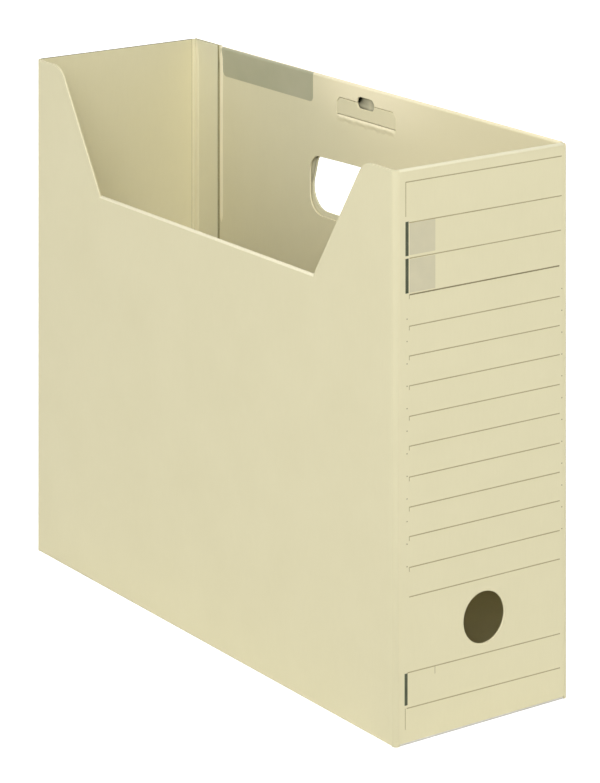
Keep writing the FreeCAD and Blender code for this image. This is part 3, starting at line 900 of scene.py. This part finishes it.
# Shoulder: height over the share of the way down, which fades at both ends, with an uneven lower rim.
shoulder_height, shoulder_reach, shoulder_fade = 0.42 * mm, 3.4 * mm, 2.5 * mm
x, below = np.meshgrid(np.linspace(tab_left - tab_kerf, tab_right + tab_kerf, 90),
                       np.linspace(0, 1, 18) ** 1.5)
swell = np.clip(np.minimum(x - x.min(), x.max() - x) / shoulder_fade, 0.02, 1)
profile = np.interp(below, [0, 0.04, 0.35, 0.5, 0.75, 1], [0, 0.3, 1, 0.9, 0.4, 0])
uneven = 1 + 0.25 * np.sin(x / mm * 0.9) * np.sin(x / mm * 0.37 + 1)
shoulder = across_y(x, tab_crease_z - below * shoulder_reach * uneven,
                    lid_y0 - profile * swell * shoulder_height - 0.02 * mm)
# Its tone is a painted highlight, strongest at the crease and gone at its lower rim.
remember_place(film("tab_shoulder", shoulder, 0.5 * mm, (1 - below) ** 1.5 * swell, "lid",
                    mark="rub", material=lid_strip))
# The pressed line along the lid's left edge is mostly a painted highlight.
ridge("lid_edge_press", lid_x0 + 1.6 * mm, lid_y0, flap_z + 3 * mm, hinge_z - 1 * mm, 1.5 * mm,
      0.14 * mm, "lid", rub=1.0)
print("lock tab", round((tab_right - tab_left) / mm, 1), "mm wide")

# %% [markdown]
# ## Tinted field on the lid
# A grey-green field is printed on the lid beside the glue flap and runs up over the hinge roll. Ink on
# film is a little more matt than the film, so it is a thin skin of its own, laid on the board.

# %% Ink materials
def ink(name, light, dark, scale=120.0):
    """Printed ink: an even tone broken a little by the board's fibres."""
    return grained(name, light, dark, scale, 4.0, relief=0.1, rise=0.00005, roughness=0.55, gloss=0.3)


field_ink = ink("field_ink", srgb(182, 180, 152), srgb(172, 172, 143), scale=40.0)
line_ink = ink("line_ink", srgb(176, 166, 128), srgb(164, 154, 116))
rule_ink = ink("rule_ink", srgb(140, 130, 94), srgb(124, 116, 84))
bar_ink = ink("bar_ink", srgb(84, 88, 68), srgb(70, 76, 56))
tint_ink = ink("tint_ink", srgb(206, 199, 168), srgb(201, 195, 165))
print("inks", [name for name in bpy.data.materials.keys() if name.endswith("_ink")])

# %% Field on lid and roll
field_left, field_right = -129.9 * mm, -44.6 * mm
field_foot, field_lift, field_round = 246.6 * mm, 0.03 * mm, 3.0 * mm
field_outline = rounded([
    (field_left + 1.6 * mm, field_foot, field_round), (field_right, field_foot, field_round * 0.9),
    (field_right, hinge_z, 0), (field_left, hinge_z, 0)])
panel("lid_field", [field_outline], placer(1, lid_y0 - field_lift), "lid",
      finish=(field_ink, field_ink), thickness=2 * field_lift, soft=0.005 * mm)

# On the roll the skin follows its circle, from the lid's side over skin_degrees.
skin_degrees, skin_steps, skin_lift = 62, 24, 0.02 * mm
turn = math.pi - np.radians(np.linspace(0, skin_degrees, skin_steps))
skin_radius = roll_radius + board / 2 + skin_lift
turn, radius, x = np.meshgrid(turn, [skin_radius, skin_radius - 2 * skin_lift],
                              [field_left, field_right], indexing="ij")
points = across_x((hinge_y + radius * np.cos(turn)).ravel(), (hinge_z + radius * np.sin(turn)).ravel(),
                  x.ravel())
faces = closed_tube(np.arange(skin_steps * 4).reshape(skin_steps, 4)[:, [0, 1, 3, 2]])
field_roll = add_piece("lid_field_roll", points, faces, (field_ink,), None)
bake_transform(field_roll)
print("field", round((field_right - field_left) / mm, 1), "mm wide")

# %% [markdown]
# ## Painted shadows
# Behind the tab's notch and round the upper left of the hand hole, the back wall lies in the lid's
# shadow, and that shadow is painted on it. A texture painted by place would need an image; here each
# painted shadow is a film as thin as paper's grain whose points carry how dark they are.

# %% Painted shadows behind the notch and round the hand hole
# Notch: a painted shadow of the lid on the back wall behind it. across and down run from 0 to 1 over
# what the camera sees through it, shifted to the left and down because the wall lies deeper. It is
# darkest in the upper left corner and ends as an oval.
wall_face, mark_thickness = y_back - board - 0.03 * mm, 0.05 * mm
notch_shift, notch_drop = 2.3 * mm, 0.3 * mm
across, down = np.meshgrid(np.linspace(-0.5, 1.4, 56), np.linspace(-0.45, 1.5, 34))
notch_width = notch_right - notch_left
x = notch_left - notch_shift + across * notch_width
z = notch_top - notch_drop - down * 2 * notch_half
from_middle = np.hypot((across - 0.45) / 0.75, (down - 0.5) / 0.8)
window = np.clip((1.2 - from_middle) / 0.35, 0, 1) ** 1.5
sideways = np.interp(across, [0, 0.12, 0.3, 0.6, 0.8, 0.95], [0.85, 0.75, 0.58, 0.44, 0.25, 0.4])
corner_dark = 1.2 * np.exp(-((across - 0.03) / 0.27) ** 2 - ((down - 0.08) / 0.36) ** 2)
shade = sideways * np.interp(down, [0, 0.5, 0.75, 1], [0.9, 1, 0.8, 1.5]) + corner_dark
shade = np.clip(shade * window, 0, 1) * np.clip(3 * (1.2 - from_middle), 0, 1)
film("notch_mark", across_y(x, z, np.full_like(x, wall_face)), mark_thickness, shade, "box")

# Hand hole: a painted shadow of the lid's rim, in rings at growing distance from the hole's rim,
# darkest at the upper left, nothing at the last.
ring_count = 9
distance = np.linspace(0.25 * mm, 4.0 * mm, ring_count)
rings = np.stack([inset(hand_hole, float(d)) for d in distance])
outward = unit(inset(hand_hole, 1.0) - hand_hole)
upper_left = np.clip(outward @ np.array([-0.55, 0.84]), 0, 1) ** 3
left = np.clip(-outward[:, 0], 0, 1)
fade = np.linspace(1, 0, ring_count)[:, None] ** 0.7
shade = np.clip(0.9 * upper_left + 0.04 * left + 0.03, 0, 1) * fade
front = across_y(rings[..., 0], rings[..., 1], np.full(rings.shape[:2], wall_face))
film("hand_hole_mark", front, mark_thickness, shade, "box", wrap=True)
print("notch", round(notch_width / mm, 1), "mm wide, rim mark", distance[-1] / mm, "mm")

# %% [markdown]
# ## Printing on the spine
# The spine is ruled for writing on: a header frame, two rows with a tinted square and a dark bar, a
# strong rule, ten plain lines with ticks and dotted margins, and a narrow field near the foot. Each
# mark is a flat slab of ink, too thin to measure, set into the film.

# %% Slabs of ink
ink_top, ink_depth = 0.01 * mm, 0.06 * mm
print_shift, print_width = 0.8 * mm, 98 * mm
lean_z, lean_rise = [15, 32, 67, 150, 200], [1.6, 1.6, 0.65, 0.6, 0.0]


def slabs(name, boxes, material):
    """Many thin slabs at once: each row y0, y1, z0, z1 gives the eight corners of a box on the spine.
    The sheet was printed a little askew, so z rises towards the front edge by up to lean_rise."""
    boxes = np.array(boxes, float) * mm
    corner_y = boxes[:, [0, 1, 1, 0]]
    lean = np.interp(boxes[:, 2] / mm, lean_z, lean_rise)[:, None] * mm
    corner_z = boxes[:, [2, 2, 3, 3]] + lean * (1 - corner_y / print_width)
    y = np.tile(corner_y, 2) + y_front - print_shift
    z = np.tile(corner_z, 2)
    x = np.repeat([x_spine - ink_top, x_spine - ink_depth], 4)[None].repeat(len(boxes), 0)
    points = across_y(x.ravel(), z.ravel(), y.ravel())
    sides = [[0, 1, 2, 3], [4, 7, 6, 5], [0, 4, 5, 1], [1, 5, 6, 2], [2, 6, 7, 3], [3, 7, 4, 0]]
    faces = (np.arange(len(boxes))[:, None, None] * 8 + np.array(sides)).reshape(-1, 4).tolist()
    add_piece(name, points, faces, (material,), "box", smooth=False)


def level_line(y0, y1, z, thick=0.5):
    """A line of ink from y0 to y1 at height z."""
    return (y0, y1, z - thick / 2, z + thick / 2)


def upright_line(y, z0, z1, thick=0.42):
    """A line of ink at y from z0 to z1."""
    return (y - thick / 2, y + thick / 2, z0, z1)


# All in millimetres, y from the print's front edge and z from the floor.
header = [level_line(6.8, 98.8, 256.0), upright_line(6.9, 240.3, 256.2)]
rows = [level_line(8.8, 98.8, 237.4), level_line(9.0, 98.4, 221.2)]
writing_z = [190.2, 176.5, 162.8, 148.8, 135.2, 121.2, 107.5, 94.1, 80.1, 66.7]
writing = [level_line(8.8, 97.6, z) for z in writing_z]
ticks = [upright_line(8.9, z - 1.9, z, 0.35) for z in [204.6] + writing_z[:-1]]
foot_field = [level_line(7.9, 97.8, 31.6), level_line(7.4, 97.8, 15.5),
              upright_line(23.6, 28.1, 31.5, 0.3), upright_line(6.6, 6.0, 15.6, 0.35)]
lines = header + rows + writing + ticks + foot_field
slabs("spine_lines", lines, line_ink)
slabs("spine_rule", [level_line(9.0, 97.4, 204.6, 0.62)], rule_ink)
slabs("spine_bars", [(6.7, 8.5, 222.4, 238.0), (6.7, 8.5, 205.4, 221.2), (6.2, 7.9, 16.9, 31.4)],
      bar_ink)
slabs("spine_squares", [(9.1, 23.8, 222.6, 237.1), (9.1, 23.8, 205.5, 220.7)], tint_ink)
dot_z = 152.6 + 10.27 * np.arange(-7, 5)
dots = [(y - 0.25, y + 0.25, z - 0.25, z + 0.25) for y in (7.6, 98.9) for z in dot_z]
slabs("spine_dots", dots, rule_ink)
print("ink lines", len(lines), "dots", len(dots))
